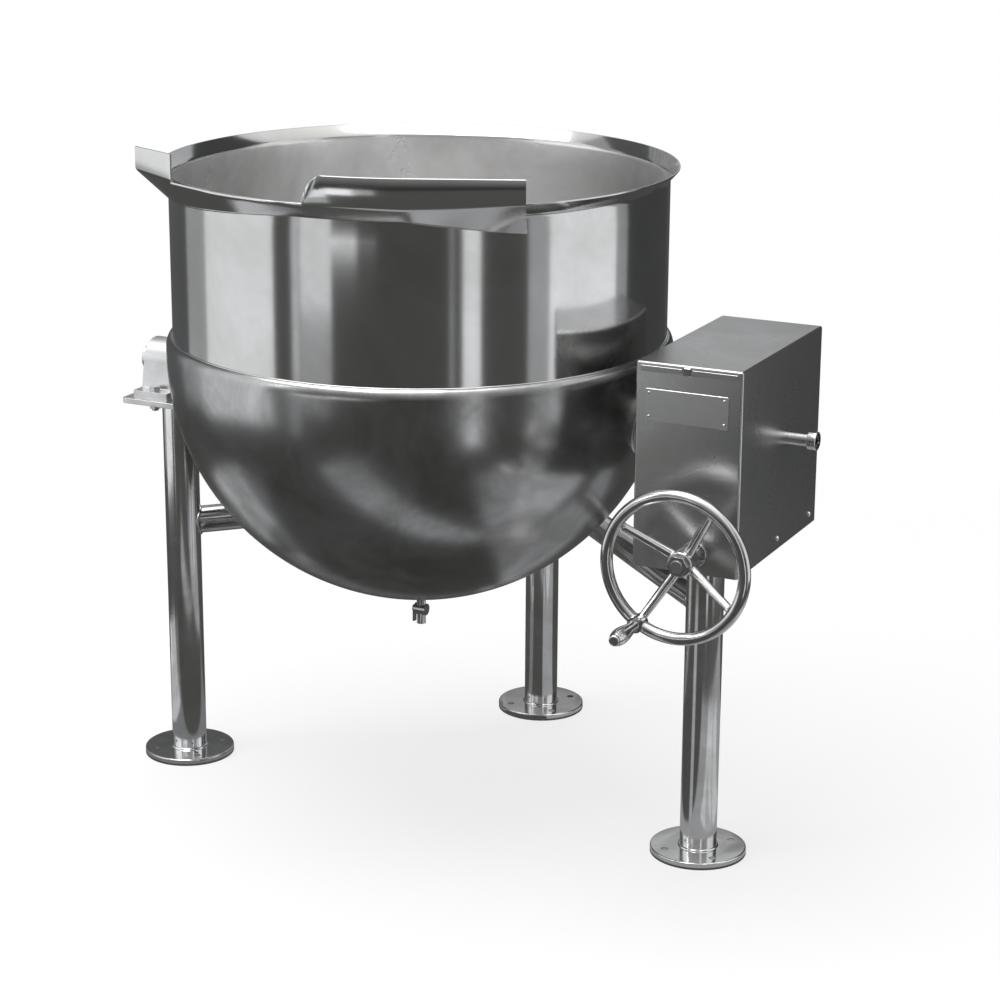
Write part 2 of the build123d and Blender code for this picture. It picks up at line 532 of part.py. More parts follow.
def steam_pipe():
    x0, x1 = UNION_X[1] - PIPE_SEAT_DEPTH, PIPE_END_X - PIPE_SOCKET
    return rod_x(PIPE_R, x0, x1) - rod_x(PIPE_BORE_R, x0, x1)


def pipe_collar():
    """The coupling at the pipe's end, whose socket takes the steam line."""
    x = (PIPE_END_X - PIPE_COLLAR, PIPE_END_X)
    ring = rod_x(PIPE_COLLAR_R, *x)
    ring = fillet(ring.edges().filter_by(GeomType.CIRCLE), 1.5)
    ring -= rod_x(PIPE_R + PRESS_GAP, x[0], PIPE_END_X - PIPE_SOCKET)
    return ring - rod_x(PIPE_SOCKET_R, PIPE_END_X - PIPE_SOCKET, PIPE_END_X)


# ---- crank pieces -------------------------------------------------------------------
def worm_shaft():
    return rod_y(SHAFT_R, HUB_FRONT_Y - NUT_THICK - 3, REAR_BLOCK_Y + SHAFT_BLOCK_THICK + SHAFT_COLLAR + 8)


def shaft_collar():
    """The stop ring behind the rear block."""
    y0 = REAR_BLOCK_Y + SHAFT_BLOCK_THICK + AXIAL_PLAY
    return rod_y(SHAFT_COLLAR_R, y0, y0 + SHAFT_COLLAR) - rod_y(SHAFT_R + PRESS_GAP, y0, y0 + SHAFT_COLLAR)


def worm():
    """A right-hand single-start thread on a sleeve, its thread pointing at the gear in the middle."""
    root_r = WORM_PITCH_R - 1.2 * MODULE
    tip_r = WORM_PITCH_R + MODULE - BACKLASH
    slope = tan(radians(PRESSURE_ANGLE))
    half = LEAD / 4 - BACKLASH
    sink = 0.6
    turns = WORM_LENGTH / LEAD + 2
    height = turns * LEAD
    foot, crest = half + (WORM_PITCH_R - root_r + sink) * slope, half - (tip_r - WORM_PITCH_R) * slope
    path = Helix(pitch=LEAD, height=height, radius=root_r - sink)
    profile = Polyline((root_r - sink, -foot), (tip_r, -crest), (tip_r, crest), (root_r - sink, foot), close=True)
    thread = sweep(make_face(Plane.XZ * profile), path=path, is_frenet=True)
    upright = (Align.CENTER, Align.CENTER, Align.CENTER)
    middle = Pos(0, 0, -height / 2)
    body = middle * thread & Cylinder(tip_r + 2, WORM_LENGTH, align=upright)
    body = body + Cylinder(root_r, WORM_LENGTH, align=upright) - Cylinder(SHAFT_R + PRESS_GAP, WORM_LENGTH)
    mid_turn = 180 * (2 * (turns / 2) % 2)
    return Pos(GEAR_X, 0, SHAFT_Z) * Rot(-90, 0, 0) * Rot(0, 0, -90 - mid_turn) * body


def spoke(angle):
    """One tapered spoke from the hub forward to the rim."""
    a = radians(angle)
    start = Vector(GEAR_X + 0.6 * HUB_R * cos(a), HUB_FRONT_Y + HUB_LENGTH / 2, SHAFT_Z + 0.6 * HUB_R * sin(a))
    end = Vector(GEAR_X + WHEEL_CIRCLE_R * cos(a), WHEEL_PLANE_Y, SHAFT_Z + WHEEL_CIRCLE_R * sin(a))
    length = (end - start).length
    cone = Cone(SPOKE_R_HUB, SPOKE_R_RIM, length, align=(Align.CENTER, Align.CENTER, Align.MIN))
    return Plane(origin=start, z_dir=end - start) * cone


def handwheel():
    """A dished cast wheel: round rim, hub set back, four spokes and a lug for the crank grip."""
    rim = Pos(GEAR_X, WHEEL_PLANE_Y, SHAFT_Z) * Rot(90, 0, 0) * Torus(WHEEL_CIRCLE_R, WHEEL_RIM_R)
    hub = rod_y(HUB_R, HUB_FRONT_Y, HUB_FRONT_Y + HUB_LENGTH)
    hub = fillet(hub.edges().filter_by(GeomType.CIRCLE), 3)
    wheel = rim + hub
    for k in range(SPOKES):
        wheel += spoke(SPOKE_TURN + k * 360 / SPOKES)
    wheel += rod_y(LUG_R, LUG_FRONT_Y, WHEEL_PLANE_Y + WHEEL_RIM_R, GRIP_X, GRIP_Z)
    wheel -= rod_y(GRIP_PIN_R + PRESS_GAP, LUG_FRONT_Y, WHEEL_PLANE_Y + WHEEL_RIM_R, GRIP_X, GRIP_Z)
    return wheel - rod_y(SHAFT_R + PRESS_GAP, HUB_FRONT_Y, HUB_FRONT_Y + HUB_LENGTH)


def wheel_nut():
    nut = Pos(GEAR_X, HUB_FRONT_Y, SHAFT_Z) * Rot(90, 0, 0) * hexagon(NUT_ACROSS, NUT_THICK)
    return nut - rod_y(SHAFT_R + PRESS_GAP, HUB_FRONT_Y - NUT_THICK, HUB_FRONT_Y)


def grip_pin():
    """The pin from the back of the rim through the grip, with a round head at its outer end."""
    grip_end = LUG_FRONT_Y - AXIAL_PLAY - GRIP_LENGTH
    pin = rod_y(GRIP_PIN_R, grip_end, WHEEL_PLANE_Y + WHEEL_RIM_R, GRIP_X, GRIP_Z)
    head = rod_y(GRIP_PIN_HEAD_R, grip_end - AXIAL_PLAY - GRIP_PIN_HEAD, grip_end - AXIAL_PLAY, GRIP_X, GRIP_Z)
    stem = rod_y(GRIP_PIN_R, grip_end - AXIAL_PLAY, grip_end, GRIP_X, GRIP_Z)
    return pin + stem + fillet(head.edges().group_by(Axis.Y)[0], 3)


def crank_grip():
    """A turned grip, swelling towards its outer end."""
    length, neck, full = GRIP_LENGTH, GRIP_NECK_R, GRIP_R
    side = Spline((neck, 3), (neck + 0.35 * (full - neck), 0.4 * length), (full, 0.75 * length), (neck, length))
    outline = [Line((0, 0), (neck, 0)), Line((neck, 0), (neck, 3)), side, Line((neck, length), (0, length)),
               Line((0, length), (0, 0))]
    solid = revolve(make_face([Plane.XZ * edge for edge in outline]), Axis.Z)
    solid -= Cylinder(GRIP_PIN_R + RUNNING_GAP, 3 * length)
    return Pos(GRIP_X, LUG_FRONT_Y - AXIAL_PLAY, GRIP_Z) * Rot(90, 0, 0) * solid


PIECES = {
    "kettle_bowl": kettle_bowl, "steam_jacket": steam_jacket, "pouring_lip": pouring_lip,
    "left_trunnion": lambda: trunnion(-1, LEFT_TRUNNION_END, 0),
    "right_trunnion": lambda: trunnion(1, RIGHT_TRUNNION_END, TRUNNION_BORE_R) - key_slot(PRESS_GAP),
    "worm_gear": worm_gear, "gear_key": gear_key,
    "petcock_body": petcock_body, "petcock_lever": petcock_lever,
    "left_leg": lambda: leg(LEFT_LEG_X, 0, FRONT_LEG_TOP), "right_leg": lambda: leg(RIGHT_LEG_X, 0, FRONT_LEG_TOP),
    "rear_leg": lambda: leg(0, REAR_LEG_Y, REAR_LEG_TOP), "rear_leg_cap": rear_leg_cap,
    "left_foot": lambda: foot(LEFT_LEG_X, 0), "right_foot": lambda: foot(RIGHT_LEG_X, 0),
    "rear_foot": lambda: foot(0, REAR_LEG_Y),
    "left_brace": lambda: brace(LEFT_LEG_X), "right_brace": lambda: brace(RIGHT_LEG_X),
    "left_top_plate": lambda: top_plate(LEFT_PLATE_X, LEFT_BLOCK_X),
    "right_top_plate": lambda: top_plate(RIGHT_PLATE_X, RIGHT_BLOCK_X),
    "left_bearing_block": lambda: bearing_block(LEFT_BLOCK_X),
    "right_bearing_block": lambda: bearing_block(RIGHT_BLOCK_X),
    "left_bearing_bush": lambda: bearing_bush(LEFT_BLOCK_X),
    "right_bearing_bush": lambda: bearing_bush(RIGHT_BLOCK_X),
    "left_bearing_bolts": lambda: bearing_bolts(LEFT_BLOCK_X),
    "right_bearing_bolts": lambda: bearing_bolts(RIGHT_BLOCK_X),
    "console_cover": console_cover, "console_base": console_base,
    "front_shaft_block": lambda: shaft_block(FRONT_BLOCK_Y), "rear_shaft_block": lambda: shaft_block(REAR_BLOCK_Y),
    "front_shaft_bush": lambda: shaft_bush(FRONT_BLOCK_Y), "rear_shaft_bush": lambda: shaft_bush(REAR_BLOCK_Y),
    "shaft_bezel": shaft_bezel,
    "rotary_union": rotary_union, "union_gland": union_gland, "union_stand": union_stand,
    "steam_pipe": steam_pipe, "pipe_collar": pipe_collar,
    "worm_shaft": worm_shaft, "shaft_collar": shaft_collar, "worm": worm,
    "handwheel": handwheel, "wheel_nut": wheel_nut, "grip_pin": grip_pin, "crank_grip": crank_grip,
}

os.makedirs("parts", exist_ok=True)
for name, make in PIECES.items():
    export_step(PLACE * make(), f"parts/{name}.step")
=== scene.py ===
import json
from math import asin, cos, degrees, pi, radians, sin, sqrt

import bmesh
import bpy
from mathutils import Matrix, Vector

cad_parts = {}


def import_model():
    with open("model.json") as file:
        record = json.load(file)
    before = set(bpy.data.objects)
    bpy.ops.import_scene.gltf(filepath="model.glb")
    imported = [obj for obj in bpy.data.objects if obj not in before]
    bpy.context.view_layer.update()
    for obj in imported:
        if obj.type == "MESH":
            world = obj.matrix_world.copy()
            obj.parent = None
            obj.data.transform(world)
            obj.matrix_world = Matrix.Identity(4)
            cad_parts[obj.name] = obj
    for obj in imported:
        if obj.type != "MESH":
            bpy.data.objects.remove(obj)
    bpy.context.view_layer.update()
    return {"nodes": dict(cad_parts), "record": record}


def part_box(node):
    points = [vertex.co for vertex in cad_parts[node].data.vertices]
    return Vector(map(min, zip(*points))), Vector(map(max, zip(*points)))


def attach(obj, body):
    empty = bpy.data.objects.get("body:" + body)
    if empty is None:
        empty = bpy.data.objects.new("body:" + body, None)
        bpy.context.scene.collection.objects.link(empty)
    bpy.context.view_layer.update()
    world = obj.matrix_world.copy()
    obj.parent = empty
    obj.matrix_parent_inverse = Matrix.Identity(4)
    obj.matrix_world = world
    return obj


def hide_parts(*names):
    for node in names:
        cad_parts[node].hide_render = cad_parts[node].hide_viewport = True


# The looks of a tilting steam jacketed kettle: polished shells, welds, sheet console and cast handwheel.
# Metres throughout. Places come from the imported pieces; only finishing sizes are given here.

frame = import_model()
SLOT_OF = {part["node"]: part["material_slot"] for part in frame["record"]["subparts"]}
BODY_OF = {node: body for body, nodes in frame["record"]["behaviour"]["bodies"].items() for node in nodes}

# ---- sizes read from the frame, with two given for the rim ----------------------------
RIM_FLARE, RIM_HEIGHT = 0.016, 0.020               # of the rim, which has no box of its own
bowl_low, bowl_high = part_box("kettle_bowl")
jacket_low, jacket_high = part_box("steam_jacket")
cover_low, cover_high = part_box("console_cover")
AXIS = (bowl_low + bowl_high) / 2                  # the kettle's upright axis
RIM_R = (bowl_high.x - bowl_low.x) / 2
RIM_TOP_Z = bowl_high.z
RIM_FOOT_Z = RIM_TOP_Z - RIM_HEIGHT
BOWL_R = RIM_R - RIM_FLARE
BOWL_CENTRE_Z = bowl_low.z + BOWL_R
JACKET_R = BOWL_CENTRE_Z - jacket_low.z
SEAM_Z = jacket_high.z
LIP_TOP_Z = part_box("pouring_lip")[1].z

# ---- finishing sizes --------------------------------------------------------------------
BOWL_WALL = 0.0025
RIM_BEND = 0.006                # how far the bend below the flare is eased
JACKET_WALL = 0.003
JACKET_STRAIGHT = 0.011
ROUND_STEPS = 256
QUARTER_STEPS = 72              # along a quarter of the round bottom
WALL_STEPS = 8
WELD_GAP = 0.0004

LIP_SHEET = 0.003
LIP_INNER_R = RIM_R + 2.5 * WELD_GAP
LIP_FREE_ANGLE = 24.0
LIP_TIP_ANGLE = 47.2
LIP_TIP_LIFT = 0.0106
LIP_SKIRT_DROP = 0.0244
LIP_SKIRT_SWEEP = 3.5
LIP_LEFT_END_ANGLE = 35.0
LIP_NOTCH_RIGHT = 0.025
LIP_NOTCH_R = 0.050

SEAM_BEAD_R = 0.0016
FILLET_BEAD_R = 0.0032
BEAD_PITCH = 0.0055
BEAD_RIPPLE = 0.14              # share of the bead's radius

# ---- camera -----------------------------------------------------------------------------
CAMERA_TURN = 25.856            # degrees from straight in front, towards the console
CAMERA_PITCH = 16.536           # degrees below level
CAMERA_ROLL = 0.34
CAMERA_BACK = 4.4033            # from the kettle's axis, along the view
CAMERA_ASIDE = 0.1379
CAMERA_HEIGHT = 1.8644
CAMERA_LENS = 94.78


# ---- mesh helpers -------------------------------------------------------------------------
def arc(centre_r, centre_z, radius, start, end, count):
    """Points (r, z) of an arc between two angles in degrees, both ends included."""
    angles = [radians(start + (end - start) * k / count) for k in range(count + 1)]
    return [(centre_r + radius * cos(a), centre_z + radius * sin(a)) for a in angles]


def lathe(outline, centre, steps=ROUND_STEPS):
    """A closed outline of (radius, height) turned about the upright through centre."""
    mesh = bmesh.new()
    rings = []
    for r, z in outline:
        if r < 1e-6:
            rings.append([mesh.verts.new((centre.x, centre.y, z))])
            continue
        turns = [2 * pi * k / steps for k in range(steps)]
        rings.append([mesh.verts.new((centre.x + r * cos(a), centre.y + r * sin(a), z)) for a in turns])
    for first, second in zip(rings, rings[1:] + rings[:1]):
        for k in range(steps):
            n = (k + 1) % steps
            if len(first) == 1 and len(second) == 1:
                break
            if len(first) == 1:
                mesh.faces.new((first[0], second[n], second[k]))
            elif len(second) == 1:
                mesh.faces.new((first[k], first[n], second[0]))
            else:
                mesh.faces.new((first[k], first[n], second[n], second[k]))
    return mesh


def skin(sections, closed_path=False):
    """A closed solid through equal rings of points, capped at its ends unless the path is closed."""
    mesh = bmesh.new()
    rings = [[mesh.verts.new(p) for p in section] for section in sections]
    pairs = list(zip(rings, rings[1:])) + ([(rings[-1], rings[0])] if closed_path else [])
    count = len(rings[0])
    for first, second in pairs:
        for k in range(count):
            n = (k + 1) % count
            mesh.faces.new((first[k], first[n], second[n], second[k]))
    if not closed_path:
        mesh.faces.new(list(reversed(rings[0])))
        mesh.faces.new(rings[-1])
    return mesh


def new_object(name, mesh):
    """The mesh as an object at the origin, its faces turned outwards."""
    if mesh.calc_volume(signed=True) < 0:
        bmesh.ops.reverse_faces(mesh, faces=mesh.faces)
    data = bpy.data.meshes.new(name)
    mesh.to_mesh(data)
    mesh.free()
    made = bpy.data.objects.new(name, data)
    bpy.context.scene.collection.objects.link(made)
    return made


def finish_piece(made, slot, body, stands_for=(), sharp=35.0):
    """Smooth shading, the slot's material, and the body the piece rides on."""
    made.data.shade_smooth()
    made.data.set_sharp_from_angle(angle=radians(sharp))
    made.data.materials.clear()
    made.data.materials.append(FINISHES[slot])
    if stands_for:
        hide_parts(*stands_for)
    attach(made, body)
    return made


def eased_copy(node, bevel=0.0):
    """The node's own shape with merged points, smooth rounds and softened edges."""
    mesh = bmesh.new()
    mesh.from_mesh(frame["nodes"][node].data)
    bmesh.ops.remove_doubles(mesh, verts=mesh.verts, dist=2e-6)
    bmesh.ops.dissolve_limit(mesh, angle_limit=radians(0.3), verts=mesh.verts, edges=mesh.edges)
    made = new_object(node + "_finished", mesh)
    if bevel:
        edge = made.modifiers.new("softened_edges", "BEVEL")
        edge.width = bevel
        edge.segments = 2
        edge.limit_method = "ANGLE"
        edge.angle_limit = radians(40)
        edge.harden_normals = True
    return finish_piece(made, SLOT_OF[node], BODY_OF[node], (node,))


# ---- node tree helpers ----------------------------------------------------------------------
def add(tree, kind, **values):
    """A node with its properties and inputs set; a link is given as a socket."""
    node = tree.nodes.new(kind)
    for key, value in values.items():
        if key in node.inputs or key.replace("_", " ") in node.inputs:
            socket = node.inputs[key if key in node.inputs else key.replace("_", " ")]
            if isinstance(value, bpy.types.NodeSocket):
                tree.links.new(value, socket)
            else:
                socket.default_value = value
        else:
            setattr(node, key, value)
    return node


def steel(name, tone, roughness, grain, grain_depth, cloud=(5.0, 0.14), wave=(3.0, 0.0006), warm=0.012):
    """Stainless steel: cloudy hand marks, a grain stretched along one axis and a slow wave of the sheet."""
    made = bpy.data.materials.new(name)
    made.use_nodes = True
    tree = made.node_tree
    shader = tree.nodes["Principled BSDF"]
    place = add(tree, "ShaderNodeTexCoord").outputs["Object"]
    stretched = add(tree, "ShaderNodeMapping", Vector=place, Scale=grain)
    lines = add(tree, "ShaderNodeTexNoise", Vector=stretched.outputs[0], Scale=1.0, Detail=4.0, Roughness=0.6)
    clouds = add(tree, "ShaderNodeTexNoise", Vector=place, Scale=cloud[0], Detail=5.0, Roughness=0.62,
                 Distortion=0.6)
    slow = add(tree, "ShaderNodeTexNoise", Vector=place, Scale=wave[0], Detail=1.0)
    bright, dim = tone * (1 + cloud[1]), tone * (1 - cloud[1])
    light = [bright, bright, bright * (1 + warm), 1]
    dark = [dim, dim * (1 - warm), dim * (1 - 3 * warm), 1]
    ramp = add(tree, "ShaderNodeValToRGB", Fac=clouds.outputs["Fac"])
    ramp.color_ramp.elements[0].position, ramp.color_ramp.elements[1].position = 0.36, 0.66
    ramp.color_ramp.elements[0].color, ramp.color_ramp.elements[1].color = dark, light
    tree.links.new(ramp.outputs["Color"], shader.inputs["Base Color"])
    marks = add(tree, "ShaderNodeMix", data_type="FLOAT")
    tree.links.new(clouds.outputs["Fac"], marks.inputs[0])
    marks.inputs[2].default_value, marks.inputs[3].default_value = roughness * 1.35, roughness * 0.7
    tree.links.new(marks.outputs[0], shader.inputs["Roughness"])
    sheet = add(tree, "ShaderNodeBump", Height=slow.outputs["Fac"], Strength=1.0, Distance=wave[1])
    fine = add(tree, "ShaderNodeBump", Height=lines.outputs["Fac"], Strength=1.0, Distance=grain_depth,
               Normal=sheet.outputs[0])
    tree.links.new(fine.outputs[0], shader.inputs["Normal"])
    shader.inputs["Metallic"].default_value = 1.0
    return made


def cast(name, tone, roughness):
    """Dark cast iron with a pebbled skin."""
    made = bpy.data.materials.new(name)
    made.use_nodes = True
    tree = made.node_tree
    shader = tree.nodes["Principled BSDF"]
    place = add(tree, "ShaderNodeTexCoord").outputs["Object"]
    pebble = add(tree, "ShaderNodeTexNoise", Vector=place, Scale=420.0, Detail=3.0)
    ramp = add(tree, "ShaderNodeValToRGB", Fac=pebble.outputs["Fac"])
    ramp.color_ramp.elements[0].color = [tone * 0.7, tone * 0.7, tone * 0.72, 1]
    ramp.color_ramp.elements[1].color = [tone * 1.3, tone * 1.3, tone * 1.3, 1]
    tree.links.new(ramp.outputs["Color"], shader.inputs["Base Color"])
    skin_bump = add(tree, "ShaderNodeBump", Height=pebble.outputs["Fac"], Strength=0.6, Distance=0.0004)
    tree.links.new(skin_bump.outputs[0], shader.inputs["Normal"])
    shader.inputs["Roughness"].default_value = roughness
    shader.inputs["Metallic"].default_value = 0.6
    return made


def bronze(name):
    """Warm bearing metal."""
    made = steel(name, 0.5, 0.3, (300, 300, 300), 0.00001)
    tree = made.node_tree
    ramp = next(n for n in tree.nodes if n.type == "VALTORGB")
    ramp.color_ramp.elements[0].color = [0.42, 0.27, 0.12, 1]
    ramp.color_ramp.elements[1].color = [0.58, 0.40, 0.20, 1]
    return made


FINISHES = {
    "bowl_polish": steel("bowl_polish", 0.68, 0.11, (9, 9, 700), 0.000004, cloud=(3.5, 0.10)),
    "bowl_satin": steel("bowl_satin", 0.80, 0.28, (9, 9, 700), 0.00001, cloud=(2.6, 0.20)),
    "lip_polish": steel("lip_polish", 0.78, 0.13, (9, 9, 700), 0.000004, cloud=(4.0, 0.08)),
    "jacket_satin": steel("jacket_satin", 0.46, 0.22, (30, 30, 500), 0.000006, cloud=(6.5, 0.24)),
    "polished_tube": steel("polished_tube", 0.78, 0.13, (400, 400, 8), 0.000004, cloud=(9.0, 0.12)),
    "bearing_steel": steel("bearing_steel", 0.72, 0.30, (500, 20, 500), 0.00001, cloud=(12.0, 0.08)),
    "frame_steel": steel("frame_steel", 0.58, 0.26, (300, 300, 300), 0.00001, cloud=(14.0, 0.12)),
    "console_sheet": steel("console_sheet", 0.52, 0.27, (500, 500, 14), 0.000012, cloud=(5.0, 0.12)),
    "wheel_polish": steel("wheel_polish", 0.70, 0.14, (160, 160, 160), 0.00001, cloud=(18.0, 0.14),
                          wave=(14.0, 0.0005)),
    "fitting_chrome": steel("fitting_chrome", 0.74, 0.10, (200, 200, 200), 0.000004, cloud=(20.0, 0.08)),
    "bronze": bronze("bronze"),
    "cast_iron": cast("cast_iron", 0.10, 0.55),
}


# ---- geometry node trees ----------------------------------------------------------------------
def geometry_tree(name, inputs):
    """An empty tree with a geometry input and output and named sizes."""
    tree = bpy.data.node_groups.new(name, "GeometryNodeTree")
    tree.interface.new_socket(name="Geometry", in_out="INPUT", socket_type="NodeSocketGeometry")
    tree.interface.new_socket(name="Geometry", in_out="OUTPUT", socket_type="NodeSocketGeometry")
    for label, kind in inputs:
        tree.interface.new_socket(name=label, in_out="INPUT", socket_type=kind)
    return tree, tree.nodes.new("NodeGroupInput"), tree.nodes.new("NodeGroupOutput")


def close_tree(tree, group_in, group_out, geometry):
    """Realize Instances and Set Material, then the output."""
    real = add(tree, "GeometryNodeRealizeInstances", Geometry=geometry)
    finish = add(tree, "GeometryNodeSetMaterial", Geometry=real.outputs[0],
                 Material=group_in.outputs["Finish"])
    tree.links.new(finish.outputs[0], group_out.inputs["Geometry"])
    return tree


def weld_bead_tree():
    """A rippled bead laid along an edge path."""
    tree, group_in, group_out = geometry_tree("weld_bead", [
        ("Bead Radius", "NodeSocketFloat"), ("Ripple Pitch", "NodeSocketFloat"),
        ("Finish", "NodeSocketMaterial")])
    path = add(tree, "GeometryNodeMeshToCurve", Mesh=group_in.outputs["Geometry"])
    quarter = add(tree, "ShaderNodeMath", operation="MULTIPLY")
    tree.links.new(group_in.outputs["Ripple Pitch"], quarter.inputs[0])
    quarter.inputs[1].default_value = 0.25
    even = add(tree, "GeometryNodeResampleCurve", Curve=path.outputs[0])
    even.mode = "LENGTH"
    tree.links.new(quarter.outputs[0], even.inputs["Length"])
    along = tree.nodes.new("GeometryNodeSplineParameter")
    turns = add(tree, "ShaderNodeMath", operation="DIVIDE")
    tree.links.new(along.outputs["Length"], turns.inputs[0])
    tree.links.new(group_in.outputs["Ripple Pitch"], turns.inputs[1])
    phase = add(tree, "ShaderNodeMath", operation="MULTIPLY")
    tree.links.new(turns.outputs[0], phase.inputs[0])
    phase.inputs[1].default_value = 2 * pi
    wave = add(tree, "ShaderNodeMath", operation="SINE")
    tree.links.new(phase.outputs[0], wave.inputs[0])
    swell = add(tree, "ShaderNodeMath", operation="MULTIPLY_ADD")
    tree.links.new(wave.outputs[0], swell.inputs[0])
    swell.inputs[1].default_value, swell.inputs[2].default_value = BEAD_RIPPLE, 1.0
    radius = add(tree, "GeometryNodeSetCurveRadius", Curve=even.outputs[0], Radius=swell.outputs[0])
    profile = add(tree, "GeometryNodeCurvePrimitiveCircle", Resolution=8)
    tree.links.new(group_in.outputs["Bead Radius"], profile.inputs["Radius"])
    bead = tree.nodes.new("GeometryNodeCurveToMesh")
    tree.links.new(radius.outputs[0], bead.inputs["Curve"])
    tree.links.new(profile.outputs[0], bead.inputs["Profile Curve"])
    bead.inputs["Fill Caps"].default_value = True
    return close_tree(tree, group_in, group_out, bead.outputs[0])


def rivet_tree():
    """A low domed head on every point, all facing one way."""
    tree, group_in, group_out = geometry_tree("rivet_heads", [
        ("Head Radius", "NodeSocketFloat"), ("Head Height", "NodeSocketFloat"),
        ("Facing", "NodeSocketVector"), ("Finish", "NodeSocketMaterial")])
    ball = add(tree, "GeometryNodeMeshUVSphere", Segments=24, Rings=12, Radius=1.0)
    size = tree.nodes.new("ShaderNodeCombineXYZ")
    for axis in "XY":
        tree.links.new(group_in.outputs["Head Radius"], size.inputs[axis])
    tree.links.new(group_in.outputs["Head Height"], size.inputs["Z"])
    head = add(tree, "GeometryNodeTransform", Geometry=ball.outputs["Mesh"])
    tree.links.new(size.outputs[0], head.inputs["Scale"])
    turn = tree.nodes.new("FunctionNodeAlignRotationToVector")
    tree.links.new(group_in.outputs["Facing"], turn.inputs["Vector"])
    heads = tree.nodes.new("GeometryNodeInstanceOnPoints")
    tree.links.new(group_in.outputs["Geometry"], heads.inputs["Points"])
    tree.links.new(head.outputs[0], heads.inputs["Instance"])
    tree.links.new(turn.outputs[0], heads.inputs["Rotation"])
    return close_tree(tree, group_in, group_out, heads.outputs[0])


TREES = {"weld_bead": weld_bead_tree(), "rivet_heads": rivet_tree()}


def grown(name, points, edges, tree_name, slot, body, **sizes):
    """A plain mesh made by one of the trees on the given points and edges."""
    seed = bpy.data.meshes.new(name + "_path")
    seed.from_pydata([tuple(p) for p in points], edges, [])
    host = bpy.data.objects.new(name + "_path", seed)
    bpy.context.scene.collection.objects.link(host)
    tree = TREES[tree_name]
    sizes["Finish"] = FINISHES[slot]
    maker = host.modifiers.new(tree_name, "NODES")
    maker.node_group = tree
    for item in tree.interface.items_tree:
        label = item.name.replace(" ", "_")
        if item.in_out == "INPUT" and label in sizes:
            maker[item.identifier] = sizes[label]
    bpy.context.view_layer.update()
    evaluated = host.evaluated_get(bpy.context.evaluated_depsgraph_get())
    plain = bpy.data.meshes.new_from_object(evaluated)
    plain.name = name
    host.modifiers.remove(maker)
    bpy.data.objects.remove(host)
    bpy.data.meshes.remove(seed)
    made = bpy.data.objects.new(name, plain)
    bpy.context.scene.collection.objects.link(made)
    return finish_piece(made, slot, body, sharp=70.0)


def weld(name, points, slot, body, radius=FILLET_BEAD_R, closed=True):
    """A weld bead along a line of points."""
    count = len(points)
    edges = [(k, (k + 1) % count) for k in range(count if closed else count - 1)]
    return grown(name, points, edges, "weld_bead", slot, body, Bead_Radius=radius, Ripple_Pitch=BEAD_PITCH)


def ring(centre, radius, z, count=160):
    """Points of a level circle."""
    turns = [2 * pi * k / count for k in range(count)]
    return [Vector((centre.x + radius * cos(a), centre.y + radius * sin(a), z)) for a in turns]


# ---- kettle ---------------------------------------------------------------------------------------
def bowl_shell():
    """Wall, round bottom and flared rim in one skin: polished outside, satin inside, the bend eased."""
    c, outer, inner = BOWL_CENTRE_Z, BOWL_R, BOWL_R - BOWL_WALL
    flare = RIM_R - BOWL_R
    edge = BOWL_WALL / 2
    outside = arc(0, c, outer, -90, 0, QUARTER_STEPS)
    outside += [(outer, c + (RIM_FOOT_Z - c) * k / WALL_STEPS) for k in range(1, WALL_STEPS)]
    bend = [(outer, RIM_FOOT_Z - RIM_BEND), (outer + 0.0003, RIM_FOOT_Z - RIM_BEND / 3),
            (outer + flare * 0.12, RIM_FOOT_Z + (RIM_TOP_Z - BOWL_WALL - RIM_FOOT_Z) * 0.12)]
    rim = [(RIM_R - 0.0002, RIM_TOP_Z - BOWL_WALL), (RIM_R, RIM_TOP_Z - edge),
           (RIM_R - 0.0003, RIM_TOP_Z - 0.0003), (RIM_R - edge, RIM_TOP_Z),
           (RIM_R - BOWL_WALL, RIM_TOP_Z - 0.0004)]
    inner_bend = [(inner + flare * 0.16, RIM_FOOT_Z + (RIM_TOP_Z - RIM_FOOT_Z) * 0.14),
                  (inner + 0.0004, RIM_FOOT_Z - RIM_BEND / 4), (inner, RIM_FOOT_Z - RIM_BEND)]
    wall = [(inner, c + (RIM_FOOT_Z - c) * k / WALL_STEPS) for k in range(WALL_STEPS - 1, 0, -1)]
    inside = arc(0, c, inner, 0, -90, QUARTER_STEPS)
    outline = outside + bend + rim + inner_bend + wall + inside
    made = finish_piece(new_object("bowl_shell", lathe(outline, AXIS)), "bowl_polish", "kettle",
                        ("kettle_bowl",), sharp=28.0)
    made.data.materials.append(FINISHES["bowl_satin"])
    middle = Vector((AXIS.x, AXIS.y, c))
    for face in made.data.polygons:
        if face.center.z < RIM_FOOT_Z and face.normal.dot(face.center - middle) < 0:
            face.material_index = 1
    return made


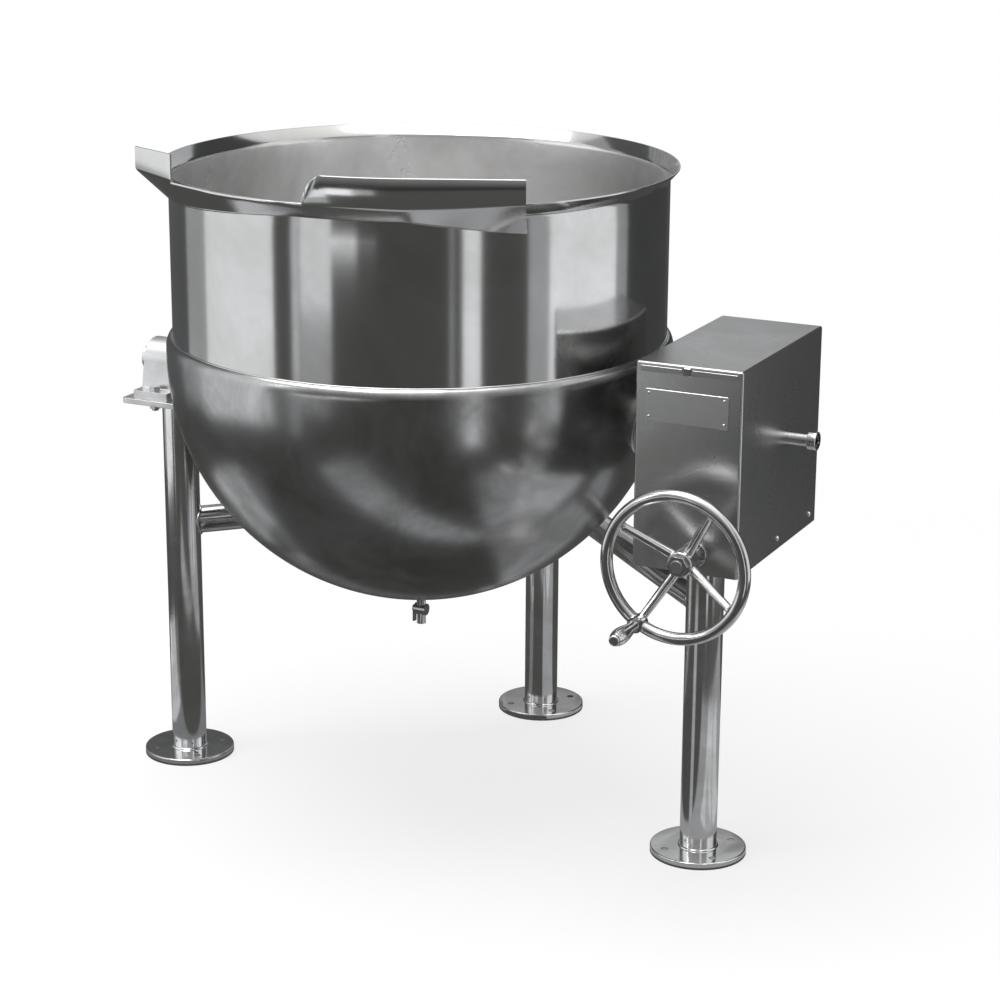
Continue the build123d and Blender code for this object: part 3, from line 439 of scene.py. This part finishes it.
def jacket_shell():
    """The outer shell: hemisphere, short straight, and a shoulder that closes in on the wall."""
    c, outer, inner = BOWL_CENTRE_Z, JACKET_R, JACKET_R - JACKET_WALL
    top = c + JACKET_STRAIGHT
    reach, rise = outer - BOWL_R - WELD_GAP, SEAM_Z - top
    quarter = [radians(90 * k / 10) for k in range(1, 11)]
    shoulder = [(outer - reach * (1 - cos(a)), top + rise * sin(a)) for a in quarter]
    under = [(r - JACKET_WALL * 0.9, z - JACKET_WALL * 0.9) for r, z in reversed(shoulder[:-2])]
    outline = arc(0, c, outer, -90, 0, QUARTER_STEPS) + [(outer, top)] + shoulder
    outline += [(BOWL_R + WELD_GAP, SEAM_Z - JACKET_WALL)] + under + [(inner, top)]
    outline += arc(0, c, inner, 0, -90, QUARTER_STEPS)
    made = new_object("jacket_shell", lathe(outline, AXIS))
    return finish_piece(made, "jacket_satin", "kettle", ("steam_jacket",), sharp=28.0)


def lip_top(angle, inner_r):
    """Height of the top edge: the left wing's square end, the open notch, the right wing's round corner."""
    x = inner_r * sin(radians(angle))
    full = LIP_NOTCH_RIGHT + LIP_NOTCH_R
    if angle <= -LIP_LEFT_END_ANGLE or x >= full:
        return LIP_TOP_Z
    if x <= LIP_NOTCH_RIGHT:
        return RIM_TOP_Z
    return RIM_TOP_Z + min(LIP_TOP_Z - RIM_TOP_Z, sqrt(LIP_NOTCH_R ** 2 - (full - x) ** 2))


def lip_section(angle):
    """One upright section of the lip, and the point of its weld line."""
    side = 1 if angle >= 0 else -1
    turn = abs(angle)
    free = max(0.0, turn - LIP_FREE_ANGLE)
    share = free / (LIP_TIP_ANGLE - LIP_FREE_ANGLE)
    drop_share = share if side > 0 else turn / LIP_TIP_ANGLE
    inner_r = LIP_INNER_R / cos(radians(free))
    outer_r = inner_r + LIP_SHEET
    slope = (RIM_TOP_Z - RIM_FOOT_Z - BOWL_WALL) / (RIM_R - BOWL_R)
    weld_r = BOWL_R + WELD_GAP
    start_z = RIM_FOOT_Z - 2 * WELD_GAP
    weld_z = start_z - LIP_SKIRT_DROP * drop_share
    top = lip_top(angle, inner_r)
    half = LIP_SHEET / 2
    fold_z = start_z + slope * (LIP_INNER_R - weld_r) + LIP_TIP_LIFT * share
    fold_z = min(fold_z, top - 3 * half)
    weld_turn = radians(turn + LIP_SKIRT_SWEEP * share ** 2)
    start = AXIS + Vector((side * weld_r * sin(weld_turn), -weld_r * cos(weld_turn), -AXIS.z))
    end = AXIS + Vector((side * outer_r * sin(radians(turn)), -outer_r * cos(radians(turn)), -AXIS.z))

    def point(r, z):
        return start + (end - start) * ((r - weld_r) / (outer_r - weld_r)) + Vector((0, 0, z))

    skirt_drop = LIP_SHEET * sqrt(1 + slope ** 2)
    outline = [(weld_r, weld_z - skirt_drop), (outer_r - 0.004, fold_z - 0.0045),
               (outer_r - 0.001, fold_z - 0.0005), (outer_r, fold_z + 0.002), (outer_r, top - half),
               (outer_r - half * 0.3, top - half * 0.3), (outer_r - half, top),
               (inner_r + half * 0.3, top - half * 0.3), (inner_r, top - half),
               (inner_r, fold_z + 0.0015), (inner_r - 0.0006, fold_z), (weld_r, weld_z)]
    return [point(r, z) for r, z in outline], point(weld_r - WELD_GAP, weld_z - skirt_drop / 2)


def spread(start, end, count):
    """Even stations between two angles, both ends included."""
    return [start + (end - start) * k / count for k in range(count + 1)]


def lip_angles():
    """Stations from tip to tip, close together at the square end and round the right wing's corner."""
    sharp = 0.02
    corner = [LIP_NOTCH_RIGHT + LIP_NOTCH_R * (1 - cos(radians(90 * k / 14))) for k in range(15)]
    round_end = [degrees(asin(x / LIP_INNER_R)) for x in corner]
    stations = spread(-LIP_TIP_ANGLE, -LIP_LEFT_END_ANGLE, 14) + spread(sharp - LIP_LEFT_END_ANGLE, 0, 36)
    stations += [round_end[0] / 2, round_end[0] - sharp] + round_end
    return stations + spread(round_end[-1], LIP_TIP_ANGLE, 44)[1:]


def lip_skin():
    """The pouring lip in one skin, and the bead that joins it to the bowl."""
    sections = [lip_section(a) for a in lip_angles()]
    made = new_object("lip_skin", skin([points for points, _ in sections]))
    finish_piece(made, "lip_polish", "kettle", ("pouring_lip",), sharp=38.0)
    weld("lip_weld", [root for _, root in sections], "bowl_polish", "kettle", radius=0.002, closed=False)


def pad_weld(side):
    """The bead where a trunnion's round pad meets the jacket."""
    low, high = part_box("left_trunnion" if side < 0 else "right_trunnion")
    middle_z, pad_r = (low.z + high.z) / 2, (high.z - low.z) / 2
    points = []
    for k in range(72):
        a = 2 * pi * k / 72
        y, z = pad_r * cos(a), middle_z + pad_r * sin(a)
        x = sqrt(JACKET_R ** 2 - y ** 2 - (z - BOWL_CENTRE_Z) ** 2)
        points.append(Vector((AXIS.x + side * x, AXIS.y + y, z)))
    return weld("left_pad_weld" if side < 0 else "right_pad_weld", points, "bearing_steel", "kettle")


bowl_shell()
jacket_shell()
lip_skin()
weld("jacket_seam_weld", ring(AXIS, BOWL_R + WELD_GAP, SEAM_Z), "bowl_polish", "kettle", radius=SEAM_BEAD_R)
for side in (-1, 1):
    pad_weld(side)


# ---- stand -----------------------------------------------------------------------------------------
def brace_weld(name, leg_node, brace_node):
    """The saddle bead where a brace runs into a leg."""
    leg_low, leg_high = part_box(leg_node)
    brace_low, brace_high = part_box(brace_node)
    leg = (leg_low + leg_high) / 2
    leg_r, brace_r = (leg_high.x - leg_low.x) / 2, (brace_high.z - brace_low.z) / 2
    brace_middle = (brace_low + brace_high) / 2
    along = Vector((brace_middle.x - leg.x, brace_middle.y - leg.y, 0)).normalized()
    across = Vector((-along.y, along.x, 0))
    points = []
    for k in range(60):
        a = 2 * pi * k / 60
        reach = sqrt(leg_r ** 2 - (brace_r * cos(a)) ** 2)
        flat = Vector((leg.x, leg.y, 0)) + along * reach + across * brace_r * cos(a)
        points.append(flat + Vector((0, 0, brace_middle.z + brace_r * sin(a))))
    return weld(name, points, "polished_tube", "stand")


for side in ("left", "right", "rear"):
    low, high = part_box(side + "_leg")
    centre, leg_r = (low + high) / 2, (high.x - low.x) / 2
    weld(side + "_foot_weld", ring(centre, leg_r, low.z, 90), "polished_tube", "stand")
    if side != "rear":
        weld(side + "_plate_weld", ring(centre, leg_r, high.z, 90), "polished_tube", "stand")
        brace_weld(side + "_brace_weld", side + "_leg", side + "_brace")
        brace_weld(side + "_brace_rear_weld", "rear_leg", side + "_brace")

SOFTENED = {
    "left_leg": 0, "right_leg": 0, "rear_leg": 0, "rear_leg_cap": 0, "left_foot": 0, "right_foot": 0,
    "rear_foot": 0, "left_brace": 0, "right_brace": 0, "left_top_plate": 0.0012, "right_top_plate": 0.0012,
    "left_bearing_block": 0.002, "right_bearing_block": 0.002, "left_bearing_bolts": 0.0006,
    "right_bearing_bolts": 0.0006, "left_bearing_bush": 0, "right_bearing_bush": 0, "console_cover": 0,
    "shaft_bezel": 0, "steam_pipe": 0, "pipe_collar": 0, "rotary_union": 0, "union_gland": 0.0006,
    "left_trunnion": 0.001, "right_trunnion": 0.001, "petcock_body": 0.0005, "petcock_lever": 0.0006,
    "worm_shaft": 0.0008, "handwheel": 0, "wheel_nut": 0.0008, "grip_pin": 0, "crank_grip": 0,
}
for node, bevel in SOFTENED.items():
    eased_copy(node, bevel)
for node, made in frame["nodes"].items():
    made.data.materials.clear()
    made.data.materials.append(FINISHES[SLOT_OF[node]])


# ---- console trim -----------------------------------------------------------------------------------
PLATE_LEFT, PLATE_RIGHT = 0.016, 0.022          # from the front's two side edges
PLATE_TOP, PLATE_HEIGHT, PLATE_THICK = 0.042, 0.052, 0.0012
RIVET_INSET = 0.007
TAB_X, TAB_WIDTH, TAB_DROP, TAB_THICK = 0.086, 0.013, 0.016, 0.0022
HEM_DROP, HEM_HEIGHT, HEM_THICK = 0.006, 0.009, 0.0010


def front_plate(name, x, z, thick, corner, slot):
    """A rounded plate standing on the console's front."""
    x0, x1, z0, z1 = x[0], x[1], z[0], z[1]
    centres = [(x1 - corner, z1 - corner, 0), (x0 + corner, z1 - corner, 90), (x0 + corner, z0 + corner, 180),
               (x1 - corner, z0 + corner, 270)]
    ring_points = [p for cx, cz, a in centres for p in arc(cx, cz, corner, a, a + 90, 6)]
    back, front = cover_low.y + 0.0001, cover_low.y - thick
    ease = thick * 0.4
    middle_x, middle_z = (x0 + x1) / 2, (z0 + z1) / 2

    def level(y, inset):
        return [Vector((px - inset if px > middle_x else px + inset, y,
                        pz - inset if pz > middle_z else pz + inset)) for px, pz in ring_points]

    made = new_object(name, skin([level(back, 0), level(front + ease, 0), level(front, ease)]))
    return finish_piece(made, slot, "stand", sharp=30.0)


plate_x = (cover_low.x + PLATE_LEFT, cover_high.x - PLATE_RIGHT)
plate_z = (cover_high.z - PLATE_TOP - PLATE_HEIGHT, cover_high.z - PLATE_TOP)
front_plate("bare_nameplate", plate_x, plate_z, PLATE_THICK, 0.003, "bearing_steel")
rivet_points = [Vector((x, cover_low.y - PLATE_THICK, z))
                for x in (plate_x[0] + RIVET_INSET, plate_x[1] - RIVET_INSET)
                for z in (plate_z[0] + RIVET_INSET, plate_z[1] - RIVET_INSET)]
grown("nameplate_rivets", rivet_points, [], "rivet_heads", "fitting_chrome", "stand",
      Head_Radius=0.0026, Head_Height=0.0014, Facing=(0, -1, 0))
tab_x = (cover_low.x + TAB_X - TAB_WIDTH / 2, cover_low.x + TAB_X + TAB_WIDTH / 2)
front_plate("cover_catch", tab_x, (cover_high.z - TAB_DROP, cover_high.z - 0.003), TAB_THICK, 0.002,
            "fitting_chrome")
for name, x in (("cover_hem_left", (cover_low.x + 0.008, tab_x[0] - 0.002)),
                ("cover_hem_right", (tab_x[1] + 0.002, cover_high.x - 0.008))):
    front_plate(name, x, (cover_high.z - HEM_DROP - HEM_HEIGHT, cover_high.z - HEM_DROP), HEM_THICK, 0.001,
                "console_sheet")
screw_points = [Vector((cover_high.x, y, cover_low.z + 0.018))
                for y in (cover_low.y + 0.03, (cover_low.y + cover_high.y) / 2, cover_high.y - 0.03)]
grown("cover_screws_right", screw_points, [], "rivet_heads", "fitting_chrome", "stand",
      Head_Radius=0.0048, Head_Height=0.0026, Facing=(1, 0, 0))


# ---- studio -----------------------------------------------------------------------------------------
FLOOR_HALF = 14.0
CARD_R = 2.5
CARD_TOP = 3.4
CARD_LIFT = 0.002
SHADE, SHADE_NEAR, SHADE_FAR = 0.30, 0.9, 2.4       # how much of the shadow the pale floor keeps, and where


def emission(name, colour, strength):
    made = bpy.data.materials.new(name)
    made.use_nodes = True
    tree = made.node_tree
    tree.nodes.clear()
    glow = add(tree, "ShaderNodeEmission", Color=(*colour, 1), Strength=strength)
    out = tree.nodes.new("ShaderNodeOutputMaterial")
    tree.links.new(glow.outputs[0], out.inputs["Surface"])
    return made


def reflection_card(name, start, end, brightness, low=0.0, high=CARD_TOP, foot=CARD_R):
    """A curved upright card seen only in the metal, which can run in over the floor to the radius foot.
    Angles run from the camera's side, to its right."""
    count = max(2, int(abs(end - start) / 3))
    mesh = bmesh.new()
    columns = []
    for k in range(count + 1):
        a = radians(CAMERA_TURN + start + (end - start) * k / count)
        rows = [(CARD_R, high), (CARD_R, low + CARD_LIFT)]
        if foot < CARD_R:
            rows.append((foot, CARD_LIFT))
        columns.append([mesh.verts.new((AXIS.x + r * sin(a), AXIS.y - r * cos(a), z)) for r, z in rows])
    for first, second in zip(columns, columns[1:]):
        for row in range(len(first) - 1):
            mesh.faces.new((first[row], second[row], second[row + 1], first[row + 1]))
    data = bpy.data.meshes.new(name)
    mesh.to_mesh(data)
    mesh.free()
    stage_card(name, data, brightness)


def floor_card(name, centre, start, end, near, far, brightness, height=2 * CARD_LIFT):
    """A flat sector round a point, on the floor or at a height, seen only in the metal."""
    count = max(2, int(abs(end - start) / 3))
    mesh = bmesh.new()
    columns = []
    for k in range(count + 1):
        a = radians(CAMERA_TURN + start + (end - start) * k / count)
        columns.append([mesh.verts.new((centre.x + r * sin(a), centre.y - r * cos(a), height))
                        for r in (max(near, 0.001), far)])
    for first, second in zip(columns, columns[1:]):
        mesh.faces.new((first[0], second[0], second[1], first[1]))
    data = bpy.data.meshes.new(name)
    mesh.to_mesh(data)
    mesh.free()
    stage_card(name, data, brightness)


def stage_card(name, data, brightness):
    card = bpy.data.objects.new(name, data)
    bpy.context.scene.collection.objects.link(card)
    data.materials.append(emission(name, (0.96, 0.98, 1.0), brightness))
    card.visible_camera = False
    card.visible_diffuse = False
    card.visible_shadow = False
    card.visible_transmission = False


def node_centre(node):
    low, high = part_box(node)
    return (low + high) / 2


# name, start and end angle, brightness, radius that the foot reaches in to
CARDS = [("far_left_dark", -178, -122, 0.10, 2.5), ("far_left_dim", -122, -104, 0.40, 2.5),
         ("far_left", -104, -62, 0.95, 2.2),
         ("near_left_line", -53, -49.5, 0.60, 1.9), ("front_line", 13.5, 15.5, 0.30, 2.5),
         ("front_right", 19, 26.5, 0.95, 1.7), ("right_soft", 47, 57, 0.40, 1.9),
         ("right_bright", 57, 94, 0.95, 2.3), ("right_mid", 94, 102, 0.35, 2.2),
         ("right_dark", 102, 150, 0.06, 2.5)]
# name, start and end angle, brightness, lower and upper edge
RAISED_CARDS = [("window_high", -49, -35, 0.85, 0.50, 0.95), ("window_low", -49, -35, 0.40, 0.12, 0.50),
                ("wing", -35, -24, 1.10, 0.66, 1.02), ("wing_end", -24, -16, 0.45, 0.70, 1.02),
                ("back", 150, 212, 0.52, 1.15, CARD_TOP)]
ABOVE_OFFSET, ABOVE_R, ABOVE_BRIGHTNESS, ABOVE_Z = Vector((-0.5, 0.2, 0.0)), 0.9, 3.3, 3.0
# leg, start and end angle, brightness
LEG_CARDS = [("right_leg", -62, -44, 0.40), ("rear_leg", -88, -60, 0.20),
             ("rear_leg", 8, 80, 0.35)]
LEG_CARD_NEAR, LEG_CARD_FAR = 0.05, 1.5
# name, start and end angle, inner and outer radius, brightness
FLOOR_CARDS = [("left_floor", -124, -90, 0.66, 1.25, 0.70), ("right_floor", 48, 84, 0.66, 1.25, 0.70)]

for label, start, end, brightness, foot in CARDS:
    reflection_card("card_" + label, start, end, brightness, foot=foot)
for label, start, end, brightness, low, high in RAISED_CARDS:
    reflection_card("card_" + label, start, end, brightness, low, high)
floor_card("card_above", AXIS + ABOVE_OFFSET, 0, 360, 0.0, ABOVE_R, ABOVE_BRIGHTNESS, height=ABOVE_Z)
for number, (leg, start, end, brightness) in enumerate(LEG_CARDS):
    floor_card(f"card_leg_{number + 1}", node_centre(leg), start, end, LEG_CARD_NEAR, LEG_CARD_FAR, brightness)
for label, start, end, near, far, brightness in FLOOR_CARDS:
    floor_card("card_" + label, AXIS, start, end, near, far, brightness)


def floor():
    """A pale floor that the metal sees as a darker studio floor."""
    mesh = bmesh.new()
    corners = [(-1, -1), (1, -1), (1, 1), (-1, 1)]
    mesh.faces.new([mesh.verts.new((x * FLOOR_HALF, y * FLOOR_HALF, 0)) for x, y in corners])
    data = bpy.data.meshes.new("floor")
    mesh.to_mesh(data)
    mesh.free()
    made = bpy.data.objects.new("floor", data)
    bpy.context.scene.collection.objects.link(made)
    material = bpy.data.materials.new("pale_floor")
    material.use_nodes = True
    tree = material.node_tree
    tree.nodes.clear()
    matt = add(tree, "ShaderNodeBsdfDiffuse", Color=(0.86, 0.86, 0.86, 1))
    dark = add(tree, "ShaderNodeEmission", Color=(0.98, 1.0, 0.95, 1), Strength=0.08)
    white = add(tree, "ShaderNodeEmission", Color=(1.0, 1.0, 1.0, 1), Strength=1.0)
    place = add(tree, "ShaderNodeTexCoord").outputs["Object"]
    reach = add(tree, "ShaderNodeVectorMath", operation="LENGTH")
    tree.links.new(place, reach.inputs[0])
    fade = add(tree, "ShaderNodeMapRange")
    tree.links.new(reach.outputs["Value"], fade.inputs["Value"])
    fade.inputs["From Min"].default_value, fade.inputs["From Max"].default_value = SHADE_NEAR, SHADE_FAR
    fade.inputs["To Min"].default_value, fade.inputs["To Max"].default_value = 1 - SHADE, 1.0
    backdrop = tree.nodes.new("ShaderNodeMixShader")
    tree.links.new(fade.outputs[0], backdrop.inputs[0])
    tree.links.new(matt.outputs[0], backdrop.inputs[1])
    tree.links.new(white.outputs[0], backdrop.inputs[2])
    path = tree.nodes.new("ShaderNodeLightPath")
    plain = tree.nodes.new("ShaderNodeMixShader")
    tree.links.new(path.outputs["Is Camera Ray"], plain.inputs[0])
    tree.links.new(matt.outputs[0], plain.inputs[1])
    tree.links.new(backdrop.outputs[0], plain.inputs[2])
    mix = tree.nodes.new("ShaderNodeMixShader")
    tree.links.new(path.outputs["Is Glossy Ray"], mix.inputs[0])
    tree.links.new(plain.outputs[0], mix.inputs[1])
    tree.links.new(dark.outputs[0], mix.inputs[2])
    out = tree.nodes.new("ShaderNodeOutputMaterial")
    tree.links.new(mix.outputs[0], out.inputs["Surface"])
    data.materials.append(material)


def world():
    """White behind the object, a soft sky on matt surfaces, a dark room with a pale ceiling in the metal."""
    made = bpy.data.worlds.new("studio")
    bpy.context.scene.world = made
    made.use_nodes = True
    tree = made.node_tree
    tree.nodes.clear()
    place = tree.nodes.new("ShaderNodeTexCoord")
    split = tree.nodes.new("ShaderNodeSeparateXYZ")
    tree.links.new(place.outputs["Generated"], split.inputs[0])
    ramp = add(tree, "ShaderNodeValToRGB", Fac=split.outputs["Z"])
    stops = ramp.color_ramp.elements
    stops[0].position, stops[0].color = 0.0, (0.02, 0.021, 0.019, 1)
    stops[1].position, stops[1].color = 0.9, (1.0, 1.0, 1.0, 1)
    mid = stops.new(0.5)
    mid.color = (0.30, 0.30, 0.30, 1)
    room = add(tree, "ShaderNodeBackground", Color=ramp.outputs["Color"], Strength=1.35)
    soft = add(tree, "ShaderNodeBackground", Color=(1, 1, 1, 1), Strength=0.62)
    white = add(tree, "ShaderNodeBackground", Color=(1, 1, 1, 1), Strength=1.0)
    path = tree.nodes.new("ShaderNodeLightPath")
    metal = tree.nodes.new("ShaderNodeMixShader")
    tree.links.new(path.outputs["Is Glossy Ray"], metal.inputs[0])
    tree.links.new(soft.outputs[0], metal.inputs[1])
    tree.links.new(room.outputs[0], metal.inputs[2])
    seen = tree.nodes.new("ShaderNodeMixShader")
    tree.links.new(path.outputs["Is Camera Ray"], seen.inputs[0])
    tree.links.new(metal.outputs[0], seen.inputs[1])
    tree.links.new(white.outputs[0], seen.inputs[2])
    out = tree.nodes.new("ShaderNodeOutputWorld")
    tree.links.new(seen.outputs[0], out.inputs["Surface"])


# name, place from the kettle's axis, height aimed at, size, watts
LAMPS = [("overhead", (-0.4, -0.6, 4.2), 0.6, 3.2, 150), ("left_front", (-3.4, -3.0, 3.0), 0.7, 1.8, 60)]


def area_lamp(name, place, target, size, watts):
    lamp = bpy.data.lights.new(name, "AREA")
    lamp.shape = "SQUARE"
    lamp.size = size
    lamp.energy = watts
    made = bpy.data.objects.new(name, lamp)
    bpy.context.scene.collection.objects.link(made)
    made.location = place
    made.rotation_euler = (Vector(target) - Vector(place)).to_track_quat("-Z", "Y").to_euler()


def camera():
    turn, pitch = radians(CAMERA_TURN), radians(CAMERA_PITCH)
    data = bpy.data.cameras.new("camera")
    data.lens = CAMERA_LENS
    data.sensor_width = 36.0
    data.clip_end = 100.0
    made = bpy.data.objects.new("camera", data)
    bpy.context.scene.collection.objects.link(made)
    place = Vector((AXIS.x + CAMERA_BACK * sin(turn) + CAMERA_ASIDE * cos(turn),
                    AXIS.y - CAMERA_BACK * cos(turn) + CAMERA_ASIDE * sin(turn), CAMERA_HEIGHT))
    look = Matrix.Rotation(turn, 4, "Z") @ Matrix.Rotation(pi / 2 - pitch, 4, "X")
    made.matrix_world = Matrix.Translation(place) @ look @ Matrix.Rotation(radians(CAMERA_ROLL), 4, "Z")
    bpy.context.scene.camera = made


floor()
world()
for name, (dx, dy, z), aim_z, size, watts in LAMPS:
    area_lamp(name, (AXIS.x + dx, AXIS.y + dy, z), (AXIS.x, AXIS.y, aim_z), size, watts)
camera()
bpy.context.scene.view_settings.view_transform = "Standard"
